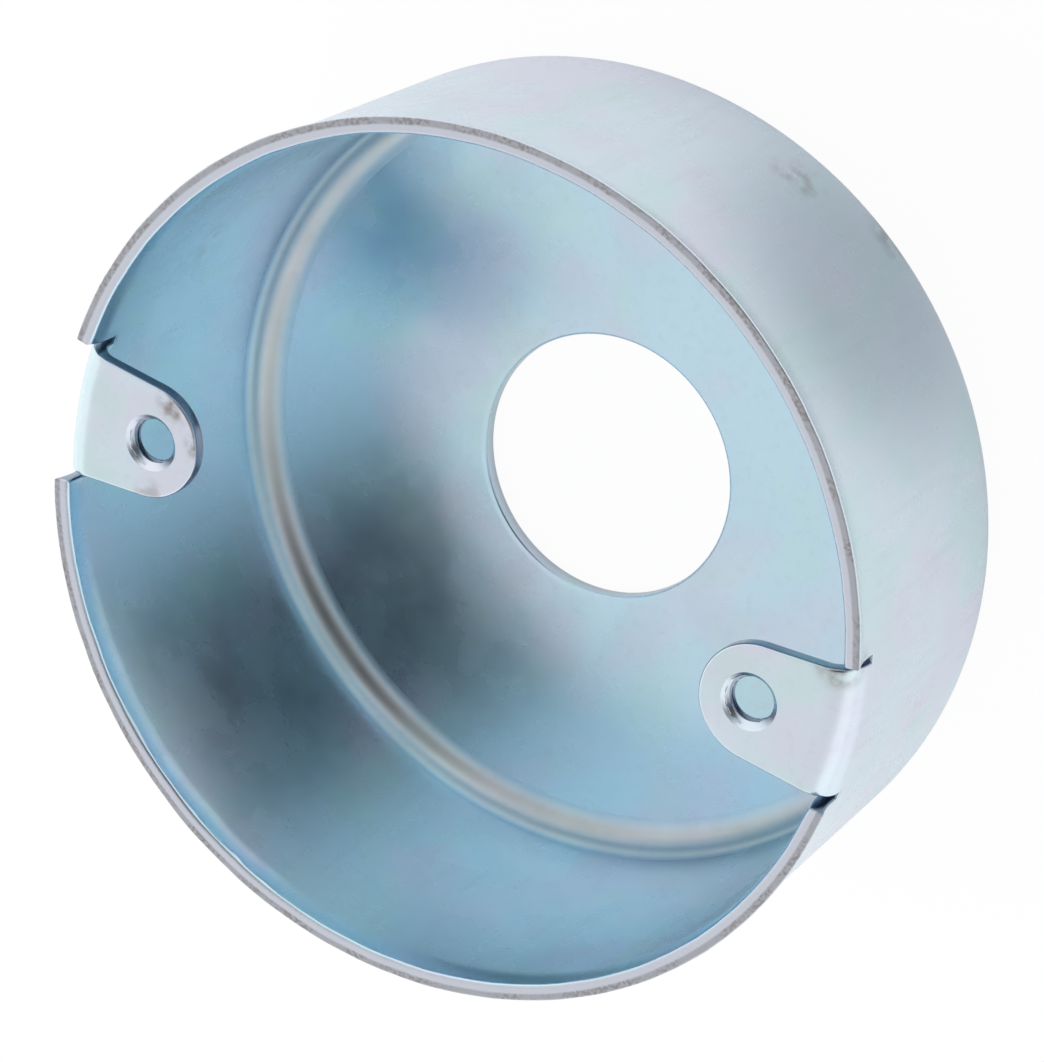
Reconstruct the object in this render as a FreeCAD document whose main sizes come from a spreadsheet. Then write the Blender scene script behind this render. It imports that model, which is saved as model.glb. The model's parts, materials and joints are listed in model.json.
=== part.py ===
import FreeCAD, Part
import os
from math import asin, atan, cos, hypot, pi, sin, tan

import Sketcher
from FreeCAD import Vector

# A round steel cup, deep drawn from one disc of sheet: a flat floor with one large punched hole,
# a slightly tapered wall and a trimmed mouth that keeps the last of the die's radius as a flare.
# Two tongues of the trimmed edge are folded in at right angles, with a slit beside each fold, and
# carry a tapped hole each, so that a cover can be screwed over the mouth.
#
# Frame: millimetres, +Z from the floor to the mouth, origin at the centre of the floor's outer
# face, the two lugs on the X axis.

SIZES = (
    ("cup_height", 27.0, "floor's outer face to the rim"),
    ("sheet", 1.2, "thickness of the steel"),
    ("floor_diameter", 64.9, "outside, where the wall's line meets the floor's plane"),
    ("mouth_diameter", 66.3, "outside, where the wall's line meets the rim's plane"),
    ("corner_radius", 2.5, "inside, floor to wall: the nose of the drawing punch"),
    ("flare_height", 2.0, "rim down to where the flare starts"),
    ("flare_out", 0.35, "how far the rim stands out from the wall's line"),
    ("floor_hole_diameter", 21.0, "clears a 20 mm conduit or gland thread"),
    ("edge_break", 0.2, "chamfer of the rim's two edges and the floor hole's inner one"),
    ("lug_pitch", 50.8, "centre to centre of the two tapped holes"),
    ("lug_drop", 0.4, "rim down to the lugs' faces"),
    ("fold_radius", 1.2, "inside radius of the lugs' folds"),
    ("lug_tip_radius", 4.5, "round end of a lug"),
    ("lug_tip_setback", 0.5, "centre of the round end, outwards of the screw hole"),
    ("lug_root_width", 10.6, "width of a lug where it leaves the wall"),
    ("slit_width", 0.5, "gap between a lug's root and the rim beside it"),
    ("slit_run", 0.3, "how far the slits run on below the folds"),
    ("screw_hole_diameter", 3.3, "tapping size of the M4 cover screws"),
    ("screw_entry_diameter", 4.4, "mouth of the screw holes' countersinks"),
    ("screw_entry_angle", 90.0, "full angle of the countersinks, in degrees"),
)

# Formulas that more than one sketch needs.
LUG_FACE = "Sizes.cup_height - Sizes.lug_drop"
SLIT_FOOT = f"{LUG_FACE} - Sizes.fold_radius - Sizes.sheet - Sizes.slit_run"
TIP_CENTRE = "Sizes.lug_pitch / 2 + Sizes.lug_tip_setback"
LUG_ROOT = "Sizes.mouth_diameter / 2 + Sizes.sheet"

FULL_TURN = 360
LUG_SECTOR = 90
CLOSE = 1e-4

# A sketch's own names for the ends and centre of a curve, its origin and its two axes.
START, END, CENTRE = 1, 2, 3
ORIGIN = (-1, START)
HORIZONTAL_AXIS = -1
VERTICAL_AXIS = -2


def fill_sheet(doc):
    """The driving sizes, one row each: what it is, then its value under its alias."""
    table = doc.addObject("Spreadsheet::Sheet", "Sizes")
    for row, (alias, value, meaning) in enumerate(SIZES, start=1):
        table.set(f"A{row}", meaning)
        table.set(f"B{row}", str(value))
        table.setAlias(f"B{row}", alias)
    doc.recompute()
    return {alias: float(table.get(alias)) for alias, _, _ in SIZES}


def new_sketch(body, name, plane, lift=None):
    """A sketch on one of the body's own origin planes, raised by an expression if one is given."""
    sketch = body.newObject("Sketcher::SketchObject", name)
    support = [part for part in body.Origin.OriginFeatures if part.Role == plane]
    sketch.AttachmentSupport = [(support[0], "")]
    sketch.MapMode = "FlatFace"
    if lift:
        sketch.setExpression("AttachmentOffset.Base.z", lift)
    return sketch


def line(sketch, start, end, construction=False):
    segment = Part.LineSegment(Vector(*start, 0), Vector(*end, 0))
    return sketch.addGeometry(segment, construction)


def arc(sketch, centre, radius, first_angle, last_angle):
    circle = Part.Circle(Vector(*centre, 0), Vector(0, 0, 1), radius)
    return sketch.addGeometry(Part.ArcOfCircle(circle, first_angle, last_angle), False)


def relate(sketch, kind, *where):
    sketch.addConstraint(Sketcher.Constraint(kind, *where))


def dimension(sketch, formula, kind, *where):
    """A dimension whose value is a formula of the sheet's sizes."""
    value = float(sketch.evalExpression(formula))
    index = sketch.addConstraint(Sketcher.Constraint(kind, *where, value))
    sketch.setExpression(f"Constraints[{index}]", formula)


def wall_line(sketch, size):
    """A construction line along the wall's outer face, from the floor's plane to the rim's."""
    foot = (size["floor_diameter"] / 2, 0)
    head = (size["mouth_diameter"] / 2, size["cup_height"])
    wall = line(sketch, foot, head, construction=True)
    relate(sketch, "PointOnObject", wall, START, HORIZONTAL_AXIS)
    dimension(sketch, "Sizes.floor_diameter / 2", "DistanceX", *ORIGIN, wall, START)
    dimension(sketch, "Sizes.mouth_diameter / 2", "DistanceX", *ORIGIN, wall, END)
    dimension(sketch, "Sizes.cup_height", "DistanceY", *ORIGIN, wall, END)
    return wall


def draw_cup_profile(sketch, size):
    """Half the cup's section, from the axis out: floor, corner, wall and flare."""
    thickness = size["sheet"]
    height = size["cup_height"]
    inner_radius = size["corner_radius"]
    outer_radius = inner_radius + thickness
    flare_height = size["flare_height"]
    flare_out = size["flare_out"]
    edge_break = size["edge_break"]
    foot = size["floor_diameter"] / 2
    lip = (size["mouth_diameter"] / 2 + flare_out, height)
    draft = atan((size["mouth_diameter"] / 2 - foot) / height)

    def on_wall(level, inset=0.0):
        return (foot + level * tan(draft) - inset / cos(draft), level)

    corner = (on_wall(outer_radius, outer_radius)[0], outer_radius)
    flare_start = on_wall(height - flare_height)
    flare_radius = (flare_height**2 + flare_out**2) / (2 * flare_out)
    flare = (
        flare_start[0] + flare_radius * cos(draft),
        flare_start[1] - flare_radius * sin(draft),
    )

    def at(centre, radius, angle):
        return (centre[0] + radius * cos(angle), centre[1] + radius * sin(angle))

    def flare_end(radius):
        """The angle on the flare at which its edge is broken."""
        return pi - asin((height - edge_break - flare[1]) / radius)

    down, to_wall, to_flare = -pi / 2, -draft, pi - draft
    outer_end = flare_end(flare_radius)
    inner_end = flare_end(flare_radius + thickness)
    below_outer_edge = at(flare, flare_radius, outer_end)
    below_inner_edge = at(flare, flare_radius + thickness, inner_end)
    rim_outer = (below_outer_edge[0] - edge_break, height)
    rim_inner = (below_inner_edge[0] + edge_break, height)

    wall = wall_line(sketch, size)
    floor_out = line(sketch, (0, 0), at(corner, outer_radius, down))
    corner_out = arc(sketch, corner, outer_radius, down, to_wall)
    wall_out = line(sketch, at(corner, outer_radius, to_wall), flare_start)
    flare_outer = arc(sketch, flare, flare_radius, outer_end, to_flare)
    edge_outer = line(sketch, below_outer_edge, rim_outer)
    rim = line(sketch, rim_outer, rim_inner)
    edge_inner = line(sketch, rim_inner, below_inner_edge)
    flare_inner = arc(sketch, flare, flare_radius + thickness, inner_end, to_flare)
    wall_in = line(
        sketch, at(flare, flare_radius + thickness, to_flare), at(corner, inner_radius, to_wall)
    )
    corner_in = arc(sketch, corner, inner_radius, down, to_wall)
    floor_in = line(sketch, at(corner, inner_radius, down), (0, thickness))
    axis = line(sketch, (0, thickness), (0, 0))
    sharp_lip = sketch.addGeometry(Part.Point(Vector(*lip, 0)), True)

    relate(sketch, "Coincident", floor_out, START, *ORIGIN)
    relate(sketch, "Horizontal", floor_out)
    relate(sketch, "Tangent", floor_out, END, corner_out, START)
    relate(sketch, "Tangent", corner_out, END, wall_out, START)
    relate(sketch, "PointOnObject", wall_out, START, wall)
    relate(sketch, "PointOnObject", wall_out, END, wall)
    relate(sketch, "Tangent", wall_out, END, flare_outer, END)
    relate(sketch, "Coincident", flare_outer, START, edge_outer, START)
    relate(sketch, "Coincident", edge_outer, END, rim, START)
    relate(sketch, "Horizontal", rim)
    relate(sketch, "Coincident", rim, END, edge_inner, START)
    relate(sketch, "Coincident", edge_inner, END, flare_inner, START)
    relate(sketch, "Coincident", flare_inner, CENTRE, flare_outer, CENTRE)
    relate(sketch, "Tangent", flare_inner, END, wall_in, START)
    relate(sketch, "Parallel", wall_in, wall_out)
    relate(sketch, "Tangent", wall_in, END, corner_in, END)
    relate(sketch, "Coincident", corner_in, CENTRE, corner_out, CENTRE)
    relate(sketch, "Tangent", corner_in, START, floor_in, START)
    relate(sketch, "Horizontal", floor_in)
    relate(sketch, "Coincident", floor_in, END, axis, START)
    relate(sketch, "Coincident", axis, END, floor_out, START)
    relate(sketch, "Vertical", axis)
    relate(sketch, "PointOnObject", sharp_lip, START, flare_outer)
    dimension(sketch, "Sizes.corner_radius", "Radius", corner_in)
    dimension(sketch, "Sizes.corner_radius + Sizes.sheet", "Radius", corner_out)
    dimension(sketch, "Sizes.edge_break", "DistanceX", edge_outer, END, edge_outer, START)
    dimension(sketch, "Sizes.edge_break", "DistanceY", edge_outer, START, edge_outer, END)
    dimension(sketch, "Sizes.edge_break", "DistanceX", edge_inner, END, edge_inner, START)
    dimension(sketch, "Sizes.edge_break", "DistanceY", edge_inner, END, edge_inner, START)
    flare_foot = "Sizes.cup_height - Sizes.flare_height"
    dimension(sketch, flare_foot, "DistanceY", *ORIGIN, wall_out, END)
    dimension(sketch, "Sizes.cup_height", "DistanceY", *ORIGIN, rim, START)
    dimension(sketch, "Sizes.cup_height", "DistanceY", *ORIGIN, sharp_lip, START)
    lip_radius = "Sizes.mouth_diameter / 2 + Sizes.flare_out"
    dimension(sketch, lip_radius, "DistanceX", *ORIGIN, sharp_lip, START)


def draw_fold_profile(sketch, size):
    """A lug's section: up the wall's line, round the fold and in along the tongue."""
    thickness = size["sheet"]
    inner_radius = size["fold_radius"]
    outer_radius = inner_radius + thickness
    face = size["cup_height"] - size["lug_drop"]
    slit_foot = face - outer_radius - size["slit_run"]
    tip = size["lug_pitch"] / 2 + size["lug_tip_setback"] - size["lug_tip_radius"] - thickness
    foot = size["floor_diameter"] / 2
    draft = atan((size["mouth_diameter"] / 2 - foot) / size["cup_height"])

    def on_wall(level, inset=0.0):
        return (foot + level * tan(draft) - inset / cos(draft), level)

    centre = (on_wall(face - outer_radius, outer_radius)[0], face - outer_radius)

    def tangent_point(radius):
        return (centre[0] + radius * cos(draft), centre[1] - radius * sin(draft))

    wall = wall_line(sketch, size)
    leg_out = line(sketch, on_wall(slit_foot), tangent_point(outer_radius))
    fold_out = arc(sketch, centre, outer_radius, -draft, pi / 2)
    tongue_out = line(sketch, (centre[0], face), (tip, face))
    tip_end = line(sketch, (tip, face), (tip, face - thickness))
    tongue_in = line(sketch, (tip, face - thickness), (centre[0], face - thickness))
    fold_in = arc(sketch, centre, inner_radius, -draft, pi / 2)
    leg_in = line(sketch, tangent_point(inner_radius), on_wall(slit_foot, thickness))
    leg_foot = line(sketch, on_wall(slit_foot, thickness), on_wall(slit_foot))

    relate(sketch, "PointOnObject", leg_out, START, wall)
    relate(sketch, "PointOnObject", leg_out, END, wall)
    relate(sketch, "Tangent", leg_out, END, fold_out, START)
    relate(sketch, "Tangent", fold_out, END, tongue_out, START)
    relate(sketch, "Horizontal", tongue_out)
    relate(sketch, "Coincident", tongue_out, END, tip_end, START)
    relate(sketch, "Vertical", tip_end)
    relate(sketch, "Coincident", tip_end, END, tongue_in, START)
    relate(sketch, "Horizontal", tongue_in)
    relate(sketch, "Tangent", tongue_in, END, fold_in, END)
    relate(sketch, "Coincident", fold_in, CENTRE, fold_out, CENTRE)
    relate(sketch, "Tangent", fold_in, START, leg_in, START)
    relate(sketch, "Parallel", leg_in, leg_out)
    relate(sketch, "Coincident", leg_in, END, leg_foot, START)
    relate(sketch, "Horizontal", leg_foot)
    relate(sketch, "Coincident", leg_foot, END, leg_out, START)
    dimension(sketch, "Sizes.fold_radius", "Radius", fold_in)
    dimension(sketch, "Sizes.fold_radius + Sizes.sheet", "Radius", fold_out)
    dimension(sketch, LUG_FACE, "DistanceY", *ORIGIN, tongue_out, START)
    dimension(sketch, SLIT_FOOT, "DistanceY", *ORIGIN, leg_out, START)
    tip_clear = f"{TIP_CENTRE} - Sizes.lug_tip_radius - Sizes.sheet"
    dimension(sketch, tip_clear, "DistanceX", *ORIGIN, tip_end, START)


def draw_tongue_outline(sketch, size):
    """A lug from above, round at the tip and wider to the root, inside the frame to be cut away."""
    centre = size["lug_pitch"] / 2 + size["lug_tip_setback"]
    radius = size["lug_tip_radius"]
    half_root = size["lug_root_width"] / 2
    root = size["mouth_diameter"] / 2 + size["sheet"]
    reach = root + size["sheet"]
    turn = atan(half_root / (root - centre))
    lean = atan((hypot(root - centre, half_root) ** 2 / radius**2 - 1) ** 0.5)
    tangent = turn + lean
    upper = (centre + radius * cos(tangent), radius * sin(tangent))

    tip = arc(sketch, (centre, 0), radius, tangent, 2 * pi - tangent)
    upper_side = line(sketch, upper, (root, half_root))
    lower_side = line(sketch, (upper[0], -upper[1]), (root, -half_root))
    root_line = line(sketch, (root, half_root), (root, -half_root))
    corners = ((0, -reach), (reach, -reach), (reach, reach), (0, reach))
    frame = [
        line(sketch, corner, following)
        for corner, following in zip(corners, corners[1:] + corners[:1])
    ]

    relate(sketch, "PointOnObject", tip, CENTRE, HORIZONTAL_AXIS)
    relate(sketch, "Tangent", tip, START, upper_side, START)
    relate(sketch, "Tangent", tip, END, lower_side, START)
    relate(sketch, "Coincident", upper_side, END, root_line, START)
    relate(sketch, "Coincident", lower_side, END, root_line, END)
    relate(sketch, "Symmetric", root_line, START, root_line, END, HORIZONTAL_AXIS)
    dimension(sketch, TIP_CENTRE, "DistanceX", *ORIGIN, tip, CENTRE)
    dimension(sketch, "Sizes.lug_tip_radius", "Radius", tip)
    dimension(sketch, LUG_ROOT, "DistanceX", *ORIGIN, root_line, START)
    dimension(sketch, "Sizes.lug_root_width", "DistanceY", root_line, END, root_line, START)

    bottom, right, top, left = frame
    for side, following in zip(frame, frame[1:] + frame[:1]):
        relate(sketch, "Coincident", side, END, following, START)
    relate(sketch, "Horizontal", bottom)
    relate(sketch, "Horizontal", top)
    relate(sketch, "Vertical", left)
    relate(sketch, "Symmetric", right, START, right, END, HORIZONTAL_AXIS)
    relate(sketch, "PointOnObject", left, END, VERTICAL_AXIS)
    dimension(sketch, f"{LUG_ROOT} + Sizes.sheet", "DistanceX", *ORIGIN, right, START)
    dimension(sketch, f"2 * ({LUG_ROOT} + Sizes.sheet)", "DistanceY", right, START, right, END)


def draw_slit_window(sketch, size):
    """The strip across the mouth, as wide as a lug's root and its two slits, that opens the rim."""
    half_length = size["mouth_diameter"] / 2 + size["flare_out"] + size["sheet"]
    half_width = size["lug_root_width"] / 2 + size["slit_width"]
    corners = (
        (-half_length, -half_width),
        (half_length, -half_width),
        (half_length, half_width),
        (-half_length, half_width),
    )
    bottom, right, top, left = (
        line(sketch, corner, following)
        for corner, following in zip(corners, corners[1:] + corners[:1])
    )
    for side, following in ((bottom, right), (right, top), (top, left), (left, bottom)):
        relate(sketch, "Coincident", side, END, following, START)
    relate(sketch, "Horizontal", bottom)
    relate(sketch, "Horizontal", top)
    relate(sketch, "Vertical", right)
    relate(sketch, "Vertical", left)
    relate(sketch, "Symmetric", bottom, START, top, START, *ORIGIN)
    length = "2 * (Sizes.mouth_diameter / 2 + Sizes.flare_out + Sizes.sheet)"
    dimension(sketch, length, "DistanceX", bottom, START, bottom, END)
    width = "Sizes.lug_root_width + 2 * Sizes.slit_width"
    dimension(sketch, width, "DistanceY", right, START, right, END)


def draw_circle(sketch, centre_formula, diameter_formula):
    """A circle on the X axis."""
    centre = float(sketch.evalExpression(centre_formula))
    diameter = float(sketch.evalExpression(diameter_formula))
    circle = Part.Circle(Vector(centre, 0, 0), Vector(0, 0, 1), diameter / 2)
    index = sketch.addGeometry(circle, False)
    relate(sketch, "PointOnObject", index, CENTRE, HORIZONTAL_AXIS)
    dimension(sketch, centre_formula, "DistanceX", *ORIGIN, index, CENTRE)
    dimension(sketch, diameter_formula, "Diameter", index)


def circle_edges(shape, radius, level):
    """The names of a shape's whole circles of that radius at that height, for a chamfer."""
    found = []
    for number, edge in enumerate(shape.Edges, start=1):
        curve = edge.Curve
        if not isinstance(curve, Part.Circle):
            continue
        if abs(curve.Radius - radius) < CLOSE and abs(curve.Center.z - level) < CLOSE:
            found.append(f"Edge{number}")
    if not found:
        raise RuntimeError(f"no round edge of radius {radius} at height {level}")
    return found


def revolve(body, name, sketch, angle):
    feature = body.newObject("PartDesign::Revolution", name)
    feature.Profile = sketch
    feature.ReferenceAxis = (sketch, ["V_Axis"])
    feature.Angle = angle
    feature.Midplane = True
    return feature


def cut_upwards(body, name, sketch):
    """Cuts a sketch's area away from its own plane up through everything above."""
    feature = body.newObject("PartDesign::Pocket", name)
    feature.Profile = sketch
    feature.Type = "ThroughAll"
    feature.Reversed = True
    return feature


def build_cup(doc, size):
    """The drawn shell: floor, wall and flared rim, with the floor hole and the opened rim."""
    body = doc.addObject("PartDesign::Body", "cup_shell")
    profile = new_sketch(body, "cup_profile", "XZ_Plane")
    draw_cup_profile(profile, size)
    revolve(body, "drawn_shell", profile, FULL_TURN)

    hole_sketch = new_sketch(body, "floor_hole_circle", "XY_Plane")
    draw_circle(hole_sketch, "0", "Sizes.floor_hole_diameter")
    hole = cut_upwards(body, "floor_hole", hole_sketch)
    doc.recompute()
    chamfer = body.newObject("PartDesign::Chamfer", "floor_hole_chamfer")
    chamfer.Base = (hole, circle_edges(hole.Shape, size["floor_hole_diameter"] / 2, size["sheet"]))
    chamfer.setExpression("Size", "Sizes.edge_break")

    window_sketch = new_sketch(body, "slit_window", "XY_Plane", lift=SLIT_FOOT)
    draw_slit_window(window_sketch, size)
    cut_upwards(body, "opened_rim", window_sketch)
    return body


def build_lug(doc, size):
    """One tongue of the wall, folded in over the mouth on the +X side, with its screw hole."""
    body = doc.addObject("PartDesign::Body", "lug")
    profile = new_sketch(body, "fold_profile", "XZ_Plane")
    draw_fold_profile(profile, size)
    revolve(body, "folded_edge", profile, LUG_SECTOR)

    outline = new_sketch(body, "tongue_outline", "XY_Plane")
    draw_tongue_outline(outline, size)
    cut_upwards(body, "trimmed_tongue", outline)

    centre = new_sketch(body, "screw_hole_circle", "XY_Plane", lift=LUG_FACE)
    draw_circle(centre, "Sizes.lug_pitch / 2", "Sizes.screw_hole_diameter")
    doc.recompute()
    hole = body.newObject("PartDesign::Hole", "screw_hole")
    hole.Profile = centre
    hole.DepthType = "ThroughAll"
    hole.HoleCutType = "Countersink"
    hole.HoleCutCustomValues = True
    hole.setExpression("Diameter", "Sizes.screw_hole_diameter")
    hole.setExpression("HoleCutDiameter", "Sizes.screw_entry_diameter")
    hole.setExpression("HoleCutCountersinkAngle", "Sizes.screw_entry_angle")
    return body


def mirror_across_x(doc, body, name):
    """The same piece on the other side of the cup's axis."""
    mirrored = doc.addObject("Part::Mirroring", name)
    mirrored.Source = body
    mirrored.Normal = Vector(1, 0, 0)
    return mirrored


def check(doc, part):
    """Stops the build if anything failed, or if the cup isn't one sound solid."""
    loose = [obj.Label for obj in doc.Objects if not getattr(obj, "FullyConstrained", True)]
    if loose:
        raise RuntimeError(f"these sketches aren't fully constrained: {loose}")
    failed = [obj.Label for obj in doc.Objects if {"Invalid", "Error"} & set(obj.State)]
    if failed:
        raise RuntimeError(f"these objects failed: {failed}")
    for obj in doc.Objects:
        if hasattr(obj, "Shape") and not obj.Shape.isNull() and not obj.Shape.isValid():
            raise RuntimeError(f"{obj.Label} has a faulty shape")
    if part.Shape.isNull() or len(part.Shape.Solids) != 1:
        raise RuntimeError("the shell and its lugs didn't join into one solid")


def main():
    doc = FreeCAD.newDocument("drawn_cup")
    size = fill_sheet(doc)
    shell = build_cup(doc, size)
    lug = build_lug(doc, size)
    other_lug = mirror_across_x(doc, lug, "other_lug")
    part = doc.addObject("Part::MultiFuse", "joined_cup")
    part.Label = "drawn_cup"
    part.Shapes = [shell, lug, other_lug]
    part.Refine = True
    part.Placement = FreeCAD.Placement()
    doc.recompute()
    check(doc, part)
    os.makedirs("parts", exist_ok=True)
    part.Shape.exportStep(f"parts/{part.Label}.step")
    print(f"{part.Label}: {part.Shape.Volume:.1f} mm3, {len(part.Shape.Faces)} faces")


main()
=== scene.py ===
import json
from math import acos, asin, atan, atan2, cos, pi, radians, sin, tan, tau

import bmesh
import bpy
from bpy.props import FloatProperty, FloatVectorProperty, PointerProperty
from mathutils import Matrix, Quaternion, Vector, noise


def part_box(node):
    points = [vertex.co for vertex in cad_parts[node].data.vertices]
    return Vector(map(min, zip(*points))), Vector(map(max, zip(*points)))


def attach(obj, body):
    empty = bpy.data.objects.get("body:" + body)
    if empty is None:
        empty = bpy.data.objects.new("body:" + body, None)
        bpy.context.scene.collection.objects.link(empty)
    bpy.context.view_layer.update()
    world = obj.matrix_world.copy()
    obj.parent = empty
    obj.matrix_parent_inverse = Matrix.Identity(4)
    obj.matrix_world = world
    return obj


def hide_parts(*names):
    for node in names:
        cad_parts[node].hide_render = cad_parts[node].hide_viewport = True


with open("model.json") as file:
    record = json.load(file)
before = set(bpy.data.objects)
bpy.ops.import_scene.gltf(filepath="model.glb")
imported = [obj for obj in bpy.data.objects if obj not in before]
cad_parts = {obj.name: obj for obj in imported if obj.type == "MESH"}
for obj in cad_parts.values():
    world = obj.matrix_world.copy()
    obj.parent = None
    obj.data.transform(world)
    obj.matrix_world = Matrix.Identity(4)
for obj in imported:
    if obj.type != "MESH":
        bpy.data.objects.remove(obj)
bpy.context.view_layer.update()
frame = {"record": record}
NODE = "drawn_cup"
CUP_LOW, CUP_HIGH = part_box(NODE)
MOUNTS = {mount["name"]: mount for mount in frame["record"]["mounts"]}
FLOOR_HOLE = MOUNTS["floor_hole"]["dims"]
COVER_SCREWS = MOUNTS["cover_screws"]["dims"]
MM = 0.001
CLOSE = 1e-6
SCREW_ENTRY = 2.2 * MM
PAPER_GAP = 0.05 * MM
# A 60 degree thread's groove and its flats, as shares of the pitch.
THREAD_DEPTH, ROOT_FLAT, CREST_FLAT, RUN_OUT = 0.5, 0.125, 0.25, 0.2
# Steps round the circles and arcs, fine enough that no facet shows.
LUG_STEPS, RIM_STEPS, TIP_STEPS, HOLE_STEPS, THREAD_STEPS = 20, 96, 48, 72, 30
SHARP = radians(38)
OUTSIDE, INSIDE, BEND, CUT, RIM = 0, 1, 2, 3, 4
# Stains as (centre in mm, radius in mm, strength), in the cup's frame with the lugs along X.
OUTSIDE_STAINS = (
    ((23.8, -4.0, 26.4), 2.2, 1.0),
    ((21.6, -1.2, 26.2), 1.4, 0.8),
    ((24.8, 4.2, 26.4), 1.8, 0.4),
    ((-31.2, -5.5, 26.2), 2.5, 0.8),
    ((-12.5, -30.4, 7.2), 3.0, 0.45),
    ((-19.0, -27.0, 2.5), 3.0, 0.6),
)
# A patch of painted shade: the wall is greyed where it mirrors the cup's shadow on the paper.
PAINTED_SHADE_PATCH = (((-20.8, -25.6, 12.0), 17.0, 0.5),)
INSIDE_STAINS = (
    ((9.0, -29.0, 14.0), 6.0, 0.35),
    ((22.0, -21.5, 12.0), 5.0, 0.3),
    ((27.5, -11.0, 16.0), 4.0, 0.3),
)
# Share of a right angle away from the room's unlit side, and the brightness there.
ROOM_FADE = ((0.14, 0.02), (0.25, 0.3), (0.36, 0.74), (0.5, 1.0))
# Sines of the heights between which the room turns from its upper to its lower brightness.
SKY_FOOT, LOW_SKY_TOP = 0.66, 0.5

bl_info = {
    "name": "Drawn Cup",
    "version": (1, 0, 0),
    "blender": (4, 5, 0),
    "location": "3D View > Sidebar > Drawn Cup",
    "description": "Makes a deep drawn, zinc plated steel cup with two folded lugs, and its studio",
    "category": "Object",
}


# ---------------------------------------------------------------- sizes and colours


def length_setting(name, description, default):
    """A length in metres that a user can set."""
    return FloatProperty(name=name, description=description, default=default, unit="LENGTH", precision=5)


def angle_setting(name, description, default):
    """An angle given in degrees that a user can set."""
    return FloatProperty(name=name, description=description, default=radians(default), subtype="ANGLE")


def colour_setting(name, description, hexadecimal):
    """A colour that a user can set, from its sRGB hex value."""
    return FloatVectorProperty(
        name=name, description=description, default=linear(hexadecimal), subtype="COLOR", size=4
    )


def linear(hexadecimal):
    """An sRGB hex colour as linear red, green, blue and alpha."""
    channels = [int(hexadecimal[i : i + 2], 16) / 255 for i in (0, 2, 4)]
    return tuple(c / 12.92 if c <= 0.04045 else ((c + 0.055) / 1.055) ** 2.4 for c in channels) + (1.0,)


class CupSizes(bpy.types.PropertyGroup):
    height: length_setting("Height", "From the floor's outer face to the rim", CUP_HIGH.z)
    sheet: length_setting("Sheet", "Thickness of the steel", FLOOR_HOLE["length_mm"] * MM)
    floor_diameter: length_setting(
        "Floor Diameter", "Outside, where the wall's line meets the floor", 64.9 * MM
    )
    mouth_diameter: length_setting("Mouth Diameter", "Outside, where the wall's line meets the rim", 66.3 * MM)
    corner_radius: length_setting("Corner Radius", "Inside, between floor and wall", 2.5 * MM)
    flare_height: length_setting("Flare Height", "How far below the rim the flare starts", 2.0 * MM)
    flare_out: length_setting("Flare", "How far the rim stands out from the wall's line", 0.35 * MM)
    floor_hole_radius: length_setting("Floor Hole Radius", "The punched hole", FLOOR_HOLE["r_mm"] * MM)
    lug_pitch: length_setting("Lug Pitch", "Between the screw holes", COVER_SCREWS["spacing_x_mm"] * MM)
    lug_face: length_setting(
        "Lug Face",
        "Height of the lugs' upper faces, a countersink's depth above the stated screw holes",
        MOUNTS["cover_screws"]["pos_m"][2] + SCREW_ENTRY - COVER_SCREWS["hole_r_mm"] * MM,
    )
    fold_radius: length_setting("Fold Radius", "Inside the lugs' folds", 1.2 * MM)
    lug_tip_radius: length_setting("Lug Tip Radius", "Round end of a lug", 4.5 * MM)
    lug_tip_setback: length_setting("Lug Tip Setback", "Tip's centre, outwards of the screw hole", 0.5 * MM)
    lug_root_width: length_setting("Lug Root Width", "Width of a lug where it leaves the wall", 10.6 * MM)
    slit_width: length_setting("Slit Width", "Gap between a lug's root and the rim", 0.5 * MM)
    slit_run: length_setting("Slit Run", "How far the slits run on below the folds", 0.3 * MM)
    screw_hole_radius: length_setting(
        "Screw Hole Radius", "Thread crests of an M4 hole", COVER_SCREWS["hole_r_mm"] * MM
    )
    screw_entry_radius: length_setting("Screw Entry Radius", "Mouth of the countersink", SCREW_ENTRY)
    thread_pitch: length_setting("Thread Pitch", "M4 coarse", 0.7 * MM)
    edge_round: length_setting("Edge Rounding", "Tumbled edges of the trimmed sheet", 0.3 * MM)
    rim_waver: length_setting("Rim Waver", "How far the trimmed rim strays from a true circle", 0.05 * MM)


class CupFinish(bpy.types.PropertyGroup):
    outside: colour_setting("Outside", "Zinc on the face that the die ironed bright", "DCE9F3")
    inside: colour_setting("Inside", "Zinc on the punch's side, where the blue film is thicker", "CBE8F7")
    # Painted shade: the bend's grey band stands in for the dark room that the bend mirrors.
    bend: colour_setting("Bend", "Inner corner, painted grey as shade", "C9D2D4")
    # Painted highlight: a creamy line standing in for the bright reflection along the bend.
    painted_highlight_line: colour_setting("Painted Highlight Line", "Painted highlight, a creamy line where the bend meets the wall", "F6F4EC")
    # Painted shade: the greyer patch's colour stands in for the darker floor that this side of the wall
    # mirrors.
    painted_shade: colour_setting("Painted Shade Patch", "Painted shade, greyer on one side of the outer wall", "A3B4C2")
    rose: colour_setting("Rose Tint", "Where the film is a little thicker", "E3D9EC")
    green: colour_setting("Green Tint", "Where the film is a little thinner", "C9EBE6")
    # Painted shade: this dark blue paints the dark line seen along the lugs' cut sides; the slits and threads
    # carry it too.
    cut: colour_setting("Cut Edges", "Blanked sides of the lugs and their threads, thinly plated, darkened as painted shade", "8094A7")
    fracture: colour_setting("Fracture", "Torn band of the sheared rim", "B4B6BE")
    pits: colour_setting("Pits", "Hollows of the torn band", "908A86")
    burnish: colour_setting("Burnish", "Smooth bands beside the torn one", "D2D7E2")
    handling: colour_setting("Handling Marks", "Brownish stains left by fingers and oil", "8C8078")
    roughness: FloatProperty(
        name="Roughness", description="Of the plated faces", default=0.25, min=0.0, max=1.0, subtype="FACTOR"
    )


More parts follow.
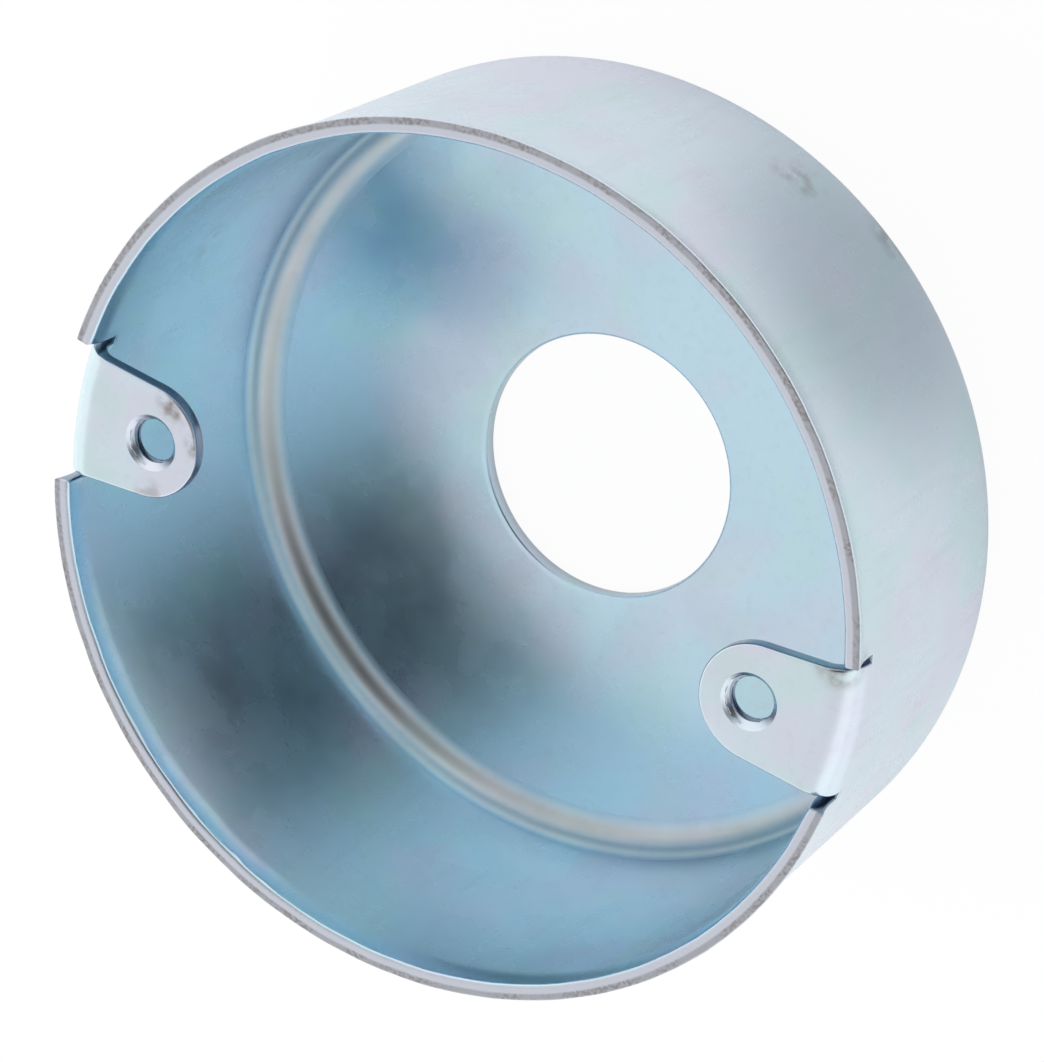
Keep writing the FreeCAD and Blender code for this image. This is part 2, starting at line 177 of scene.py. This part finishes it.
class CupStage(bpy.types.PropertyGroup):
    azimuth: angle_setting("Azimuth", "Camera's turn round the cup", -40.5)
    elevation: angle_setting("Elevation", "Camera's angle above the floor", 55.2)
    roll: angle_setting("Roll", "Camera's turn about its line of sight", -121.9)
    distance: length_setting("Distance", "From the aim to the camera", 335.9 * MM)
    aim: FloatVectorProperty(
        name="Aim",
        description="The point that the camera looks at",
        default=(0.25 * MM, 1.49 * MM, CUP_HIGH.z / 2),
        subtype="TRANSLATION",
        unit="LENGTH",
        precision=5,
    )
    focal_length: FloatProperty(
        name="Focal Length", description="Of the camera, in millimetres", default=152.58, min=1.0
    )
    paper: colour_setting("Paper", "Floor and backdrop", "F4F5F6")
    sky: FloatProperty(name="Sky", description="Brightness of the room round the cup", default=0.83, min=0.0)
    low_sky: FloatProperty(
        name="Low Sky", description="Brightness of the room below 30 degrees", default=1.1, min=0.0
    )
    dark_azimuth: angle_setting("Dark Side Azimuth", "Turn of the room's unlit side, as the camera's", -40)
    dark_elevation: angle_setting("Dark Side Elevation", "Height of the room's unlit side", 55)
    lamp_azimuth: angle_setting("Lamp Azimuth", "Turn halfway between the two side lamps", 141)
    lamp_spread: angle_setting("Lamp Spread", "Turn from there to each side lamp", 37)
    lamp_elevation: angle_setting("Lamp Elevation", "Height of the side lamps", 40)
    lamp_distance: length_setting("Lamp Distance", "From the cup to each lamp", 0.8)
    lamp_size: length_setting("Lamp Size", "Side of each square lamp", 0.35)
    lamp_power: FloatProperty(name="Lamp Power", description="Of each lamp, in watts", default=2.2, min=0.0)


# ---------------------------------------------------------------- the sheet


class Section:
    """The radii, angles and levels that the cup's profiles share. Inset 0 is the sheet's outer face."""

    def __init__(self, size):
        self.size = size
        foot, mouth = size.floor_diameter / 2, size.mouth_diameter / 2
        self.foot = foot
        self.draft = atan((mouth - foot) / size.height)
        self.fold_outer = size.fold_radius + size.sheet
        self.slit_foot = size.lug_face - self.fold_outer - size.slit_run
        self.fold_centre = self.on_wall(size.lug_face - self.fold_outer, self.fold_outer)
        self.flare_radius = (size.flare_height**2 + size.flare_out**2) / (2 * size.flare_out)
        start = self.on_wall(size.height - size.flare_height)
        self.flare_centre = start + self.flare_radius * Vector((cos(self.draft), 0, -sin(self.draft)))

    def on_wall(self, level, inset=0.0):
        """The point at that height, that far inside the wall's outer face."""
        return Vector((self.foot + level * tan(self.draft) - inset / cos(self.draft), 0, level))


def arc(centre, radius, start, end, steps):
    """Points round a centre in the XZ plane, both ends included."""
    angles = (start + (end - start) * i / steps for i in range(steps + 1))
    return [centre + radius * Vector((cos(a), 0, sin(a))) for a in angles]


def run(start, end, steps):
    """Points along a straight line, both ends included."""
    return [start.lerp(end, i / steps) for i in range(steps + 1)]


def join(*stretches):
    """Stretches of points as one list, without the doubled ends."""
    points = list(stretches[0])
    for stretch in stretches[1:]:
        points += stretch[1:]
    return points


def base_profile(section, inset):
    """Floor hole, floor, corner and the wall as far up as the slits."""
    size = section.size
    outer_radius = size.corner_radius + size.sheet
    corner = section.on_wall(outer_radius, outer_radius)
    bend = arc(corner, outer_radius - inset, -pi / 2, -section.draft, 10)
    hole_edge = Vector((size.floor_hole_radius, 0, inset))
    near_hole = hole_edge + Vector((2 * size.edge_round, 0, 0))
    slit_foot = section.on_wall(section.slit_foot, inset)
    below_slit = section.on_wall(section.slit_foot - size.fold_radius, inset)
    return join(
        [hole_edge, near_hole],
        run(near_hole, bend[0], 6),
        bend,
        run(bend[-1], below_slit, 8),
        [below_slit, slit_foot],
    )


def rim_profile(section, inset):
    """The wall beside the slits and the flare, up to the trimmed rim."""
    size = section.size
    centre, radius = section.flare_centre, section.flare_radius + inset
    end = pi - asin((size.height - centre.z) / radius)
    flare = arc(centre, radius, pi - section.draft, end, 8)
    start = section.on_wall(section.slit_foot, inset)
    return join(run(start, flare[0], 2), flare)


def fold_profile(section, inset):
    """A lug's root: up from the foot of its slits and round the fold."""
    fold = arc(section.fold_centre, section.fold_outer - inset, -section.draft, pi / 2, 10)
    return join([section.on_wall(section.slit_foot, inset), fold[0]], fold)


def spin_profile(mesh, points, start, angle, steps):
    """Turns a profile about the cup's axis, over one sector of it."""
    verts = [mesh.verts.new(point) for point in points]
    edges = [mesh.edges.new(pair) for pair in zip(verts, verts[1:])]
    bmesh.ops.rotate(mesh, verts=verts, cent=(0, 0, 0), matrix=Matrix.Rotation(start, 3, "Z"))
    bmesh.ops.spin(
        mesh,
        geom=verts + edges,
        cent=(0, 0, 0),
        axis=(0, 0, 1),
        angle=angle,
        steps=steps,
        use_merge=False,
    )


class Lug:
    """The plan of one lug, on the side of the cup that the turn faces."""

    def __init__(self, section, turn):
        size = section.size
        self.turn = turn
        self.tip_radius = size.lug_tip_radius
        self.hole = Vector((size.lug_pitch / 2, 0, 0))
        self.tip_centre = self.hole + Vector((size.lug_tip_setback, 0, 0))
        root = Vector((size.mouth_diameter / 2 + size.sheet, size.lug_root_width / 2, 0))
        touch = self.on_tip(self.tangent_from(root))
        side_at_fold = touch.lerp(root, (section.fold_centre.x - touch.x) / (root.x - touch.x))
        self.half_angle = atan2(side_at_fold.y, side_at_fold.x)
        self.tip_start = self.tangent_from(self.on_fold_end(self.half_angle, section))

    def on_tip(self, angle):
        return self.tip_centre + self.tip_radius * Vector((cos(angle), sin(angle), 0))

    def on_fold_end(self, angle, section):
        return section.fold_centre.x * Vector((cos(angle), sin(angle), 0))

    def tangent_from(self, point):
        """The angle round the tip at which a line from the point touches it."""
        reach = point - self.tip_centre
        return atan2(reach.y, reach.x) + acos(self.tip_radius / reach.length)


def sectors(section, lug):
    """(start, angle, steps, what stands there) round the whole cup."""
    size = section.size
    window = size.lug_root_width / 2 + size.slit_width
    slit = asin(window / section.on_wall(section.slit_foot).x)
    found = []
    for turn in (0, pi):
        found += [
            (turn - slit, slit - lug.half_angle, 1, "slit"),
            (turn - lug.half_angle, 2 * lug.half_angle, LUG_STEPS, "lug"),
            (turn + lug.half_angle, slit - lug.half_angle, 1, "slit"),
            (turn + slit, pi - 2 * slit, RIM_STEPS, "rim"),
        ]
    return found


def nearest(mesh, point):
    return min(mesh.verts, key=lambda vert: (vert.co - point).length_squared)


def add_tongue_face(mesh, section, lug, inset, hole_radius):
    """The flat of a lug, from the end of its fold to its round tip. Returns its hole's edges."""
    size = section.size
    lift = Vector((0, 0, size.lug_face - inset))
    turn = Matrix.Rotation(lug.turn, 3, "Z")
    fold_radius = section.fold_centre.x
    half_span = 2 * fold_radius * sin(lug.half_angle / 2) + CLOSE
    middle = turn @ lug.on_fold_end(0, section) + lift
    fold_end = [
        edge
        for edge in mesh.edges
        if edge.is_boundary
        and all(abs(v.co.z - lift.z) < CLOSE and (v.co - middle).length < half_span for v in edge.verts)
    ]
    corners = [nearest(mesh, turn @ lug.on_fold_end(side * lug.half_angle, section) + lift) for side in (1, -1)]
    tip = mesh.verts.new(turn @ lug.on_tip(lug.tip_start) + lift)
    spun = bmesh.ops.spin(
        mesh,
        geom=[tip],
        cent=turn @ lug.tip_centre,
        axis=(0, 0, 1),
        angle=tau - 2 * lug.tip_start,
        steps=TIP_STEPS,
        use_merge=False,
    )
    round_end = [edge for edge in mesh.edges if edge.is_wire]
    sides = [mesh.edges.new(pair) for pair in ((corners[0], tip), (corners[1], spun["geom_last"][0]))]
    circle = bmesh.ops.create_circle(
        mesh, segments=HOLE_STEPS, radius=hole_radius, matrix=Matrix.Translation(turn @ lug.hole + lift)
    )["verts"]
    hole = list({edge for vert in circle for edge in vert.link_edges})
    filled = bmesh.ops.triangle_fill(
        mesh, edges=fold_end + round_end + sides + hole, use_beauty=True, normal=(0, 0, 1)
    )
    faces = [item for item in filled["geom"] if isinstance(item, bmesh.types.BMFace)]
    bmesh.ops.inset_region(mesh, faces=faces, thickness=1.5 * size.edge_round, use_even_offset=True)
    return hole


def thread_radius(size, angle, depth):
    """How far the screw hole's wall lies from its axis: a right-hand 60 degree thread."""
    place = (-depth / size.thread_pitch - angle / tau) % 1
    from_root = abs(2 * place - 1)
    cut = min(max((1 - CREST_FLAT - from_root) / (1 - CREST_FLAT - ROOT_FLAT), 0), 1)
    runs_out = min(1, (size.sheet - depth) / (RUN_OUT * size.thread_pitch))
    threaded = size.screw_hole_radius + THREAD_DEPTH * size.thread_pitch * cut * runs_out
    return max(threaded, size.screw_entry_radius - depth)


def add_thread(mesh, size, lug, edges):
    """The screw hole's wall, from the countersink's mouth down through the lug."""
    countersunk = THREAD_STEPS * (size.screw_entry_radius - size.screw_hole_radius) / size.sheet
    centre = Matrix.Rotation(lug.turn, 3, "Z") @ lug.hole
    for step in range(1, THREAD_STEPS + 1):
        made = bmesh.ops.extrude_edge_only(mesh, edges=edges)["geom"]
        edges = [item for item in made if isinstance(item, bmesh.types.BMEdge)]
        for face in (item for item in made if isinstance(item, bmesh.types.BMFace)):
            face.material_index = OUTSIDE if step <= countersunk else CUT
        depth = size.sheet * step / THREAD_STEPS
        for vert in (item for item in made if isinstance(item, bmesh.types.BMVert)):
            angle = atan2(vert.co.y - centre.y, vert.co.x - centre.x)
            radius = thread_radius(size, angle, depth)
            vert.co = (
                centre.x + radius * cos(angle),
                centre.y + radius * sin(angle),
                size.lug_face - depth,
            )


def add_sheet_face(mesh, section, lugs, inset):
    """One face of the sheet, all round the cup. Returns the edges of the screw holes in it."""
    size = section.size
    raised = {"rim": rim_profile, "lug": fold_profile}
    for start, angle, steps, kind in sectors(section, lugs[0]):
        spin_profile(mesh, base_profile(section, inset), start, angle, steps)
        if kind in raised:
            spin_profile(mesh, raised[kind](section, inset), start, angle, steps)
    bmesh.ops.remove_doubles(mesh, verts=mesh.verts, dist=CLOSE)
    hole_radius = size.screw_hole_radius if inset else size.screw_entry_radius
    return [add_tongue_face(mesh, section, lug, inset, hole_radius) for lug in lugs]


def sheet_face(section, lugs, inset):
    """One face of the sheet as a mesh of its own, the outer one with the threads of its screw holes."""
    mesh = bmesh.new()
    holes = add_sheet_face(mesh, section, lugs, inset)
    size = section.size
    bend_foot = size.corner_radius + size.sheet
    bend_start = section.on_wall(bend_foot, bend_foot).x
    for face in mesh.faces:
        middle = face.calc_center_median()
        bent = middle.xy.length > bend_start and middle.z < bend_foot
        face.material_index = (BEND if bent else INSIDE) if inset else OUTSIDE
    for lug, edges in zip(lugs, holes):
        if not inset:
            add_thread(mesh, size, lug, edges)
    face_mesh = bpy.data.meshes.new("sheet_face")
    mesh.to_mesh(face_mesh)
    mesh.free()
    return face_mesh


def at_floor_hole(edge, size):
    return all(v.co.xy.length < size.floor_hole_radius + CLOSE for v in edge.verts)


def build_cup(size):
    """The whole cup as one closed mesh: two faces of sheet, joined by its cut edges."""
    mesh = bmesh.new()
    section = Section(size)
    lugs = [Lug(section, turn) for turn in (0, pi)]
    for inset in (0, size.sheet):
        face_mesh = sheet_face(section, lugs, inset)
        mesh.from_mesh(face_mesh)
        bpy.data.meshes.remove(face_mesh)
    bmesh.ops.remove_doubles(mesh, verts=mesh.verts, dist=CLOSE)
    cut = [edge for edge in mesh.edges if edge.is_boundary]
    for punched in (True, False):
        loops = [edge for edge in cut if at_floor_hole(edge, size) == punched]
        for face in bmesh.ops.bridge_loops(mesh, edges=loops)["faces"]:
            above_lugs = all(vert.co.z > size.lug_face + CLOSE for vert in face.verts)
            face.material_index = RIM if above_lugs else OUTSIDE if punched else CUT
    bmesh.ops.recalc_face_normals(mesh, faces=mesh.faces)
    bmesh.ops.bevel(
        mesh,
        geom=cut,
        offset=size.edge_round,
        offset_type="OFFSET",
        affect="EDGES",
        segments=4,
        profile=0.5,
        material=-1,
        clamp_overlap=True,
        loop_slide=True,
    )
    for face in mesh.faces:
        face.smooth = True
    return mesh


def waver_rim(mesh, size):
    """Moves the trimmed rim a little in and out, as the trimming die left it."""
    for vert in mesh.verts:
        share = (vert.co.z - size.height + size.flare_height) / size.flare_height
        if share > 0:
            outwards = Vector((vert.co.x, vert.co.y, 0)).normalized()
            shift = noise.noise(outwards * 9) + 0.5 * noise.noise(outwards * 31)
            drop = noise.noise(outwards * 14 + Vector((0, 0, 5))) - 0.4
            vert.co += size.rim_waver * share * (shift * outwards + Vector((0, 0, min(drop, 0))))


# ---------------------------------------------------------------- finishes


def add_node(tree, kind, inputs=None, **settings):
    """Adds a node, sets its settings, and gives each input a value or a link."""
    node = tree.nodes.new(kind)
    for name, value in settings.items():
        setattr(node, name, value)
    for socket, value in (inputs or {}).items():
        if isinstance(value, bpy.types.NodeSocket):
            tree.links.new(value, node.inputs[socket])
        else:
            node.inputs[socket].default_value = value
    return node


def new_material(name):
    """A material with only its shader and its output."""
    material = bpy.data.materials.new(name)
    material.use_nodes = True
    tree = material.node_tree
    return material, tree, tree.nodes["Principled BSDF"]


def blotches(tree, place, spacing, low, high, detail=3.0, stretch=(1, 1, 1)):
    """A mask of soft patches that many metres apart, 0 below the low level and 1 above the high one."""
    mapped = add_node(tree, "ShaderNodeMapping", {"Vector": place, "Scale": stretch})
    pattern = add_node(
        tree,
        "ShaderNodeTexNoise",
        {"Vector": mapped.outputs["Vector"], "Scale": 1 / spacing, "Detail": detail},
    )
    level = add_node(
        tree,
        "ShaderNodeMapRange",
        {"Value": pattern.outputs["Fac"], "From Min": low, "From Max": high},
        interpolation_type="SMOOTHSTEP",
    )
    return level.outputs["Result"]


def spot(tree, place, centre, radius):
    """A mask of one soft round spot: 1 at its centre, 0 at its radius."""
    gap = add_node(tree, "ShaderNodeVectorMath", {0: place, 1: centre}, operation="DISTANCE")
    fade = add_node(
        tree,
        "ShaderNodeMapRange",
        {"Value": gap.outputs["Value"], "From Min": radius, "From Max": 0.3 * radius},
        interpolation_type="SMOOTHSTEP",
    )
    return fade.outputs["Result"]


def tinted(tree, base, tint, mask, strength):
    """The base colour, turned to the tint by that strength where the mask is 1."""
    share = add_node(tree, "ShaderNodeMath", {0: mask, 1: strength}, operation="MULTIPLY")
    mix = add_node(tree, "ShaderNodeMix", {0: share.outputs["Value"], 6: base, 7: tint}, data_type="RGBA")
    return mix.outputs[2]


def bend_shade_and_highlight(tree, place, finish, foot, top):
    """Up the height of the bend: grey painted shade, then one creamy painted highlight line, then the wall's
    own colour.
    """
    height = add_node(tree, "ShaderNodeSeparateXYZ", {"Vector": place}).outputs["Z"]
    share = add_node(tree, "ShaderNodeMapRange", {"Value": height, "From Min": foot, "From Max": top})
    bands = add_node(tree, "ShaderNodeValToRGB", {"Fac": share.outputs["Result"]})
    ramp = bands.color_ramp
    for _ in range(4):
        ramp.elements.new(0.5)
    stops = (
        (0.0, finish.inside),
        (0.12, finish.bend),
        (0.45, finish.bend),
        (0.62, finish.painted_highlight_line),
        (0.7, finish.painted_highlight_line),
        (0.85, finish.inside),
    )
    for element, (level, shade) in zip(ramp.elements, stops):
        element.position, element.color = level, shade
    return bands.outputs["Color"]


def zinc_plate(name, finish, base, film, stains, matt=0.0, bend=(), painted_shade=()):
    """Bright electroplated zinc under a clear blue passivate, on drawn steel.

    The film gives the grey metal its blue cast and faint rose and green patches. Drawing leaves
    fine lines up the wall, and the plating a grain that keeps reflections soft.
    """
    material, tree, shader = new_material(name)
    place = add_node(tree, "ShaderNodeTexCoord").outputs["Object"]
    rose = blotches(tree, place, 11 * MM, 0.45, 0.62)
    green = blotches(tree, place, 7 * MM, 0.5, 0.66, stretch=(1, 1, 0.6))
    # On the bend, painted shade and a painted highlight, laid out by height.
    under = bend_shade_and_highlight(tree, place, finish, *bend) if bend else base
    metal = tinted(tree, under, finish.rose, rose, film)
    metal = tinted(tree, metal, finish.green, green, film)
    # Faint smears run up the wall; they are 0.8 mm apart, coarser than the real ones so that they show.
    smears = blotches(tree, place, 0.8 * MM, 0.5, 0.75, stretch=(1, 1, 0.12))
    metal = tinted(tree, metal, finish.handling, smears, 0.05)
    # The matt grain is under 0.1 mm; it is drawn 0.3 mm wide so that it shows.
    grain = blotches(tree, place, 0.3 * MM, 0.2, 0.8)
    cloud = blotches(tree, place, 1.2 * MM, 0.35, 0.65, detail=6.0)
    for centre, radius, strength in stains:
        near = spot(tree, place, MM * Vector(centre), MM * radius)
        mask = add_node(tree, "ShaderNodeMath", {0: near, 1: cloud}, operation="MULTIPLY")
        metal = tinted(tree, metal, finish.handling, mask.outputs["Value"], strength)
    # Painted shade: a greyer patch where the wall mirrors the shadowed paper.
    for centre, radius, strength in painted_shade:
        near = spot(tree, place, MM * Vector(centre), MM * radius)
        metal = tinted(tree, metal, finish.painted_shade, near, strength)
    haze = blotches(tree, place, 5 * MM, 0.3, 0.7)
    roughness = add_node(
        tree,
        "ShaderNodeMapRange",
        {"Value": haze, "To Min": finish.roughness + matt - 0.02, "To Max": finish.roughness + matt + 0.05},
    )
    # Drawing lines run straight up the wall, about 0.5 mm apart.
    lines = blotches(tree, place, 0.5 * MM, 0.2, 0.8, stretch=(1, 1, 0.04))
    drawn = add_node(
        tree, "ShaderNodeBump", {"Height": lines, "Strength": 0.3, "Distance": 0.004 * MM}
    )
    grained = add_node(
        tree,
        "ShaderNodeBump",
        {"Height": grain, "Normal": drawn.outputs["Normal"], "Strength": 0.3, "Distance": 0.004 * MM},
    )
    shader.inputs["Metallic"].default_value = 1.0
    tree.links.new(metal, shader.inputs["Base Color"])
    tree.links.new(roughness.outputs["Result"], shader.inputs["Roughness"])
    tree.links.new(grained.outputs["Normal"], shader.inputs["Normal"])
    return material


def sheared_steel(name, finish, inner, outer):
    """The rim's sheared edge under the same zinc: a torn, mottled band between two smooth ones."""
    material, tree, shader = new_material(name)
    place = add_node(tree, "ShaderNodeTexCoord").outputs["Object"]
    flat = add_node(tree, "ShaderNodeVectorMath", {0: place, 1: (1, 1, 0)}, operation="MULTIPLY")
    reach = add_node(tree, "ShaderNodeVectorMath", {0: flat.outputs["Vector"]}, operation="LENGTH")
    across = add_node(
        tree,
        "ShaderNodeMapRange",
        {"Value": reach.outputs["Value"], "From Min": inner, "From Max": outer},
    )
    torn = add_node(tree, "ShaderNodeValToRGB", {"Fac": across.outputs["Result"]})
    ramp = torn.color_ramp
    ramp.elements[0].position, ramp.elements[1].position = 0.42, 0.55
    ramp.elements.new(0.86)
    ramp.elements.new(0.94)
    for element, level in zip(ramp.elements, (0, 1, 1, 0)):
        element.color = (level, level, level, 1)
    # The torn band breaks up into hollows about 0.3 mm across.
    pits = blotches(tree, place, 0.3 * MM, 0.42, 0.6, detail=5.0)
    stretches = blotches(tree, place, 2.5 * MM, 0.38, 0.6)
    metal = tinted(tree, finish.burnish, finish.fracture, torn.outputs["Color"], 1.0)
    hollows = add_node(tree, "ShaderNodeMath", {0: torn.outputs["Color"], 1: pits}, operation="MULTIPLY")
    pitted = add_node(
        tree, "ShaderNodeMath", {0: hollows.outputs["Value"], 1: stretches}, operation="MULTIPLY"
    )
    metal = tinted(tree, metal, finish.pits, pitted.outputs["Value"], 0.75)
    bump = add_node(
        tree, "ShaderNodeBump", {"Height": pits, "Strength": 0.5, "Distance": 0.015 * MM}, invert=True
    )
    shader.inputs["Metallic"].default_value = 1.0
    shader.inputs["Roughness"].default_value = 0.42
    tree.links.new(metal, shader.inputs["Base Color"])
    tree.links.new(bump.outputs["Normal"], shader.inputs["Normal"])
    return material


class DRAWNCUP_OT_make_cup(bpy.types.Operator):
    """Make the drawn cup with its folded lugs, threads and plated finish"""

    bl_idname = "object.make_drawn_cup"
    bl_label = "Make Drawn Cup"

    def execute(self, context):
        size, finish = context.scene.cup_sizes, context.scene.cup_finish
        mesh = build_cup(size)
        waver_rim(mesh, size)
        data = bpy.data.meshes.new("cup_shell")
        mesh.to_mesh(data)
        mesh.free()
        data.set_sharp_from_angle(angle=SHARP)
        outer = size.mouth_diameter / 2 + size.flare_out
        # Heights between which the bend gets its painted shade and painted highlight.
        bend = (size.sheet, size.sheet + size.corner_radius)
        for material in (
            # The outside carries a patch of painted shade.
            zinc_plate("zinc_plate_outside", finish, finish.outside, 0.4, OUTSIDE_STAINS, painted_shade=PAINTED_SHADE_PATCH),
            zinc_plate("zinc_plate_inside", finish, finish.inside, 0.35, INSIDE_STAINS),
            # The bend's material paints shade and a highlight on it.
            zinc_plate("zinc_plate_bend_painted_shade_and_highlight", finish, finish.inside, 0.2, (), matt=0.1, bend=bend),
            # The blanked edges' dark blue is painted shade.
            zinc_plate("zinc_plate_blanked_edge_painted_shade", finish, finish.cut, 0.2, ()),
            sheared_steel("zinc_plate_sheared_rim", finish, outer - size.sheet, outer),
        ):
            data.materials.append(material)
        cup = bpy.data.objects.new("cup_shell", data)
        context.scene.collection.objects.link(cup)
        weighted = cup.modifiers.new("Weighted Normal", "WEIGHTED_NORMAL")
        weighted.keep_sharp = True
        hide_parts(NODE)
        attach(cup, "root")
        return {"FINISHED"}


# ---------------------------------------------------------------- stage


def outwards(azimuth, elevation):
    """The direction from the cup to something at that turn and height."""
    low = cos(elevation)
    return Vector((sin(azimuth) * low, -cos(azimuth) * low, sin(elevation)))


def glow_share(tree, to_camera, to_reflections):
    """How much of the paper's light is its own, for the camera, and for reflections and see-through rays."""
    path = add_node(tree, "ShaderNodeLightPath").outputs
    mirrored = add_node(
        tree,
        "ShaderNodeMath",
        {0: path["Is Glossy Ray"], 1: path["Is Transmission Ray"]},
        operation="MAXIMUM",
    )
    shown = add_node(
        tree, "ShaderNodeMath", {0: path["Is Camera Ray"], 1: to_camera}, operation="MULTIPLY"
    )
    in_metal = add_node(
        tree, "ShaderNodeMath", {0: mirrored.outputs["Value"], 1: to_reflections}, operation="MULTIPLY"
    )
    share = add_node(
        tree,
        "ShaderNodeMath",
        {0: shown.outputs["Value"], 1: in_metal.outputs["Value"]},
        operation="MAXIMUM",
    )
    return share.outputs["Value"]


def paper_sheet(stage):
    """Matt white paper. It shows nearly white by itself, so the cup's shadow on it stays faint."""
    material, tree, shader = new_material("white_paper")
    shader.inputs["Roughness"].default_value = 0.9
    shader.inputs["Base Color"].default_value = stage.paper
    glow = add_node(tree, "ShaderNodeEmission", {"Color": (1, 1, 1, 1), "Strength": 1.0})
    share = glow_share(tree, 0.95, 0.25)
    mixed = add_node(
        tree,
        "ShaderNodeMixShader",
        {0: share, 1: shader.outputs["BSDF"], 2: glow.outputs["Emission"]},
    )
    tree.links.new(mixed.outputs["Shader"], tree.nodes["Material Output"].inputs["Surface"])
    return material


def light_room(world, stage):
    """A bright, even room, dimmer towards one unlit side. The camera sees plain white past the floor."""
    world.use_nodes = True
    tree = world.node_tree
    background = tree.nodes["Background"]
    looking = add_node(tree, "ShaderNodeTexCoord").outputs["Generated"]
    unlit = outwards(stage.dark_azimuth, stage.dark_elevation)
    towards = add_node(tree, "ShaderNodeVectorMath", {0: looking, 1: unlit}, operation="DOT_PRODUCT")
    away = add_node(tree, "ShaderNodeMath", {0: towards.outputs["Value"]}, operation="ARCCOSINE")
    part = add_node(tree, "ShaderNodeMath", {0: away.outputs["Value"], 1: 2 / pi}, operation="MULTIPLY")
    level = add_node(tree, "ShaderNodeValToRGB", {"Fac": part.outputs["Value"]})
    ramp = level.color_ramp
    for _ in range(2):
        ramp.elements.new(0.5)
    for element, (place, value) in zip(ramp.elements, ROOM_FADE):
        element.position = place
        element.color = (value, value, value, 1)
    height = add_node(tree, "ShaderNodeSeparateXYZ", {"Vector": looking}).outputs["Z"]
    belt = add_node(
        tree,
        "ShaderNodeMapRange",
        {
            "Value": height,
            "From Min": SKY_FOOT,
            "From Max": LOW_SKY_TOP,
            "To Min": stage.sky,
            "To Max": stage.low_sky,
        },
    )
    lit = add_node(
        tree,
        "ShaderNodeMath",
        {0: level.outputs["Color"], 1: belt.outputs["Result"]},
        operation="MULTIPLY",
    )
    camera = add_node(tree, "ShaderNodeLightPath").outputs["Is Camera Ray"]
    strength = add_node(tree, "ShaderNodeMix", {0: camera, 2: lit.outputs["Value"], 3: 1.0})
    background.inputs["Color"].default_value = (1, 1, 1, 1)
    tree.links.new(strength.outputs[0], background.inputs["Strength"])


def add_lamp(scene, stage, name, direction):
    """A square soft lamp that faces the cup. It lights the paper, and the metal mirrors only the room."""
    lamp = bpy.data.objects.new(name, bpy.data.lights.new(name, "AREA"))
    lamp.data.energy = stage.lamp_power
    lamp.data.size = stage.lamp_size
    lamp.visible_glossy = False
    lamp.matrix_world = Matrix.LocRotScale(
        stage.lamp_distance * direction, (-direction).to_track_quat("-Z", "Y"), None
    )
    scene.collection.objects.link(lamp)


class DRAWNCUP_OT_make_stage(bpy.types.Operator):
    """Make the paper floor, the soft light and the camera"""

    bl_idname = "object.make_cup_stage"
    bl_label = "Make Stage"

    def execute(self, context):
        scene, stage = context.scene, context.scene.cup_stage
        mesh = bmesh.new()
        bmesh.ops.create_grid(mesh, size=1.5, matrix=Matrix.Translation((0, 0, CUP_LOW.z - PAPER_GAP)))
        paper = bpy.data.meshes.new("paper_floor")
        mesh.to_mesh(paper)
        mesh.free()
        paper.materials.append(paper_sheet(stage))
        floor = bpy.data.objects.new("paper_floor", paper)
        scene.collection.objects.link(floor)

        back = outwards(stage.azimuth, stage.elevation)
        facing = (-back).to_track_quat("-Z", "Y") @ Quaternion((0, 0, 1), stage.roll)
        camera = bpy.data.objects.new("camera", bpy.data.cameras.new("camera"))
        camera.data.lens = stage.focal_length
        camera.data.clip_start = 10 * MM
        camera.matrix_world = Matrix.LocRotScale(Vector(stage.aim) + stage.distance * back, facing, None)
        scene.collection.objects.link(camera)
        scene.camera = camera

        for name, turn in (("left_lamp", -stage.lamp_spread), ("right_lamp", stage.lamp_spread)):
            add_lamp(scene, stage, name, outwards(stage.lamp_azimuth + turn, stage.lamp_elevation))

        scene.world = scene.world or bpy.data.worlds.new("white_room")
        light_room(scene.world, stage)
        scene.view_settings.view_transform = "Standard"
        return {"FINISHED"}


class VIEW3D_PT_drawn_cup(bpy.types.Panel):
    """The cup's and the stage's settings and buttons"""

    bl_label = "Drawn Cup"
    bl_space_type = "VIEW_3D"
    bl_region_type = "UI"
    bl_category = "Drawn Cup"

    def draw(self, context):
        scene = context.scene
        for operator, settings in (
            (DRAWNCUP_OT_make_cup, scene.cup_sizes),
            (None, scene.cup_finish),
            (DRAWNCUP_OT_make_stage, scene.cup_stage),
        ):
            box = self.layout.box()
            for name in settings.__annotations__:
                box.prop(settings, name)
            if operator:
                box.operator(operator.bl_idname)


CLASSES = (CupSizes, CupFinish, CupStage, DRAWNCUP_OT_make_cup, DRAWNCUP_OT_make_stage, VIEW3D_PT_drawn_cup)


def register():
    for cls in CLASSES:
        bpy.utils.register_class(cls)
    bpy.types.Scene.cup_sizes = PointerProperty(type=CupSizes)
    bpy.types.Scene.cup_finish = PointerProperty(type=CupFinish)
    bpy.types.Scene.cup_stage = PointerProperty(type=CupStage)


def unregister():
    del bpy.types.Scene.cup_stage, bpy.types.Scene.cup_finish, bpy.types.Scene.cup_sizes
    for cls in reversed(CLASSES):
        bpy.utils.unregister_class(cls)


def main():
    register()
    bpy.ops.object.make_drawn_cup()
    bpy.ops.object.make_cup_stage()


if __name__ == "__main__":
    main()
